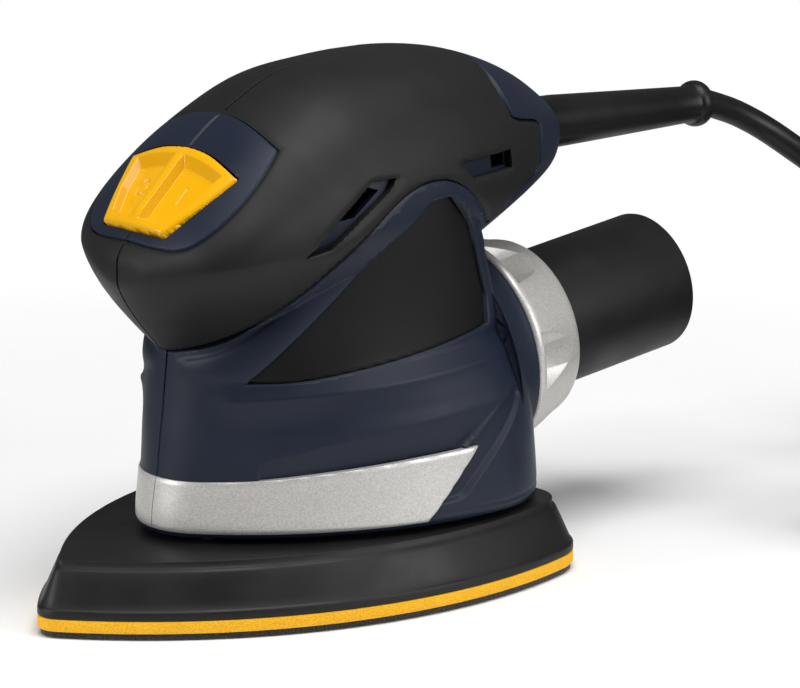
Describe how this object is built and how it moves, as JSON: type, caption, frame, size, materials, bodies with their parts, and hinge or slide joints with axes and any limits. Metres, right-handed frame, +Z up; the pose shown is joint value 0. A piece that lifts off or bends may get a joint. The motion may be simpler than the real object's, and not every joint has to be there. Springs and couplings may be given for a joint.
{
  "type": "orbital sander",
  "caption": "Palm-grip detail sander with a delta pad on an eccentric drive, a rocker switch on the nose, a dust port with a lock ring, and a corded supply.",
  "frame": {"origin": "on the motor axis, in the plane of the sanding face", "axes": "+X to the tip of the pad, +Y to the user's left, +Z up along the motor axis"},
  "size_m": [0.3611, 0.1521, 0.13],
  "materials": {
    "navy_plastic": "fine matte texture",
    "soft_grip": "soft-touch matte",
    "silver_paint": "metallic flake paint",
    "panel_black": "satin",
    "rocker_yellow": "gloss",
    "black_plastic": "fine matte texture",
    "foam_yellow": "open foam",
    "hook_fabric": "short hooks",
    "rubber_black": "smooth",
    "felt_grey": "felt",
    "steel": "turned",
    "cast_zinc": "as cast",
    "lamination": "laminated",
    "copper": "enamelled wire",
    "brass": "plain",
    "carbon": "graphite",
    "phenolic": "pressed sheet",
    "fan_nylon": "moulded",
    "nylon_white": "moulded",
    "capacitor_yellow": "moulded",
    "wire_insulation": "smooth",
    "fuse_red": "moulded"
  },
  "bodies": {
    "housing": {"leg_cups": "black_plastic", "dust_seal": "felt_grey", "fan_shroud": "black_plastic", "dust_duct": "black_plastic", "lower_bearing_outer": "steel", "upper_bearing_outer": "steel", "bearing_cup": "rubber_black", "stator_core": "lamination", "field_coils": "copper", "brush_plate": "phenolic", "brush_holders": "brass", "carbon_brushes": "carbon", "brush_springs": "steel", "suppressor": "capacitor_yellow", "housing_left": "navy_plastic", "housing_right": "navy_plastic", "grip_left": "soft_grip", "grip_right": "soft_grip", "trim_left": "silver_paint", "trim_right": "silver_paint", "side_panel_left": "panel_black", "side_panel_right": "panel_black", "housing_screws": "steel", "switch_body": "black_plastic", "dust_spigot": "navy_plastic", "tube_seal": "rubber_black", "cord_guard": "rubber_black", "cord_inner": "rubber_black", "cord_clamp": "black_plastic", "clamp_screws": "steel", "lead_wires": "wire_insulation", "cord": "rubber_black", "cord_coil": "rubber_black", "coil_tie": "rubber_black", "cord_tail": "rubber_black", "plug_body": "rubber_black", "plug_pins": "brass", "fuse_carrier": "fuse_red"},
    "shaft": {"motor_shaft": "steel", "armature_core": "lamination", "armature_winding": "copper", "commutator": "copper", "fan": "fan_nylon", "eccentric": "cast_zinc", "lower_bearing_inner": "steel", "upper_bearing_inner": "steel", "platen_bearing_inner": "steel", "platen_screw": "steel"},
    "platen": {"platen": "black_plastic", "foam_pad": "foam_yellow", "hook_face": "hook_fabric", "support_legs": "nylon_white", "platen_bearing_outer": "steel", "platen_circlip": "steel"},
    "rocker": {"switch_rocker": "rocker_yellow"},
    "dust_tube": {"dust_tube": "black_plastic"},
    "lock_ring": {"lock_ring": "silver_paint"}
  },
  "joints": [
    {"name": "shaft_spin", "type": "hinge", "parent": "housing", "child": "shaft", "pos_m": [0, 0, 0.06], "axis": [0, 0, 1], "continuous": true},
    {"name": "platen_orbit", "type": "hinge", "parent": "shaft", "child": "platen", "pos_m": [0.001, 0, 0.013], "axis": [0, 0, 1], "continuous": true},
    {"name": "switch_rock", "type": "hinge", "parent": "housing", "child": "rocker", "pos_m": [0.04108, 0, 0.09934], "axis": [-0.7266, 0, 0.6871], "range_deg": [0, 7]},
    {"name": "tube_slide", "type": "slide", "parent": "housing", "child": "dust_tube", "axis": [-0.9924, 0, 0.1227], "range_m": [0, 0.005]},
    {"name": "ring_turn", "type": "hinge", "parent": "dust_tube", "child": "lock_ring", "pos_m": [-0.0713, 0, 0.052], "axis": [-0.9924, 0, 0.1227], "range_deg": [0, 360]}
  ],
  "couplings": [
    {"joint": "platen_orbit", "follows": "shaft_spin", "ratio": -1},
    {"joint": "tube_slide", "follows": "ring_turn", "m_per_rad": 0.00079577}
  ]
}
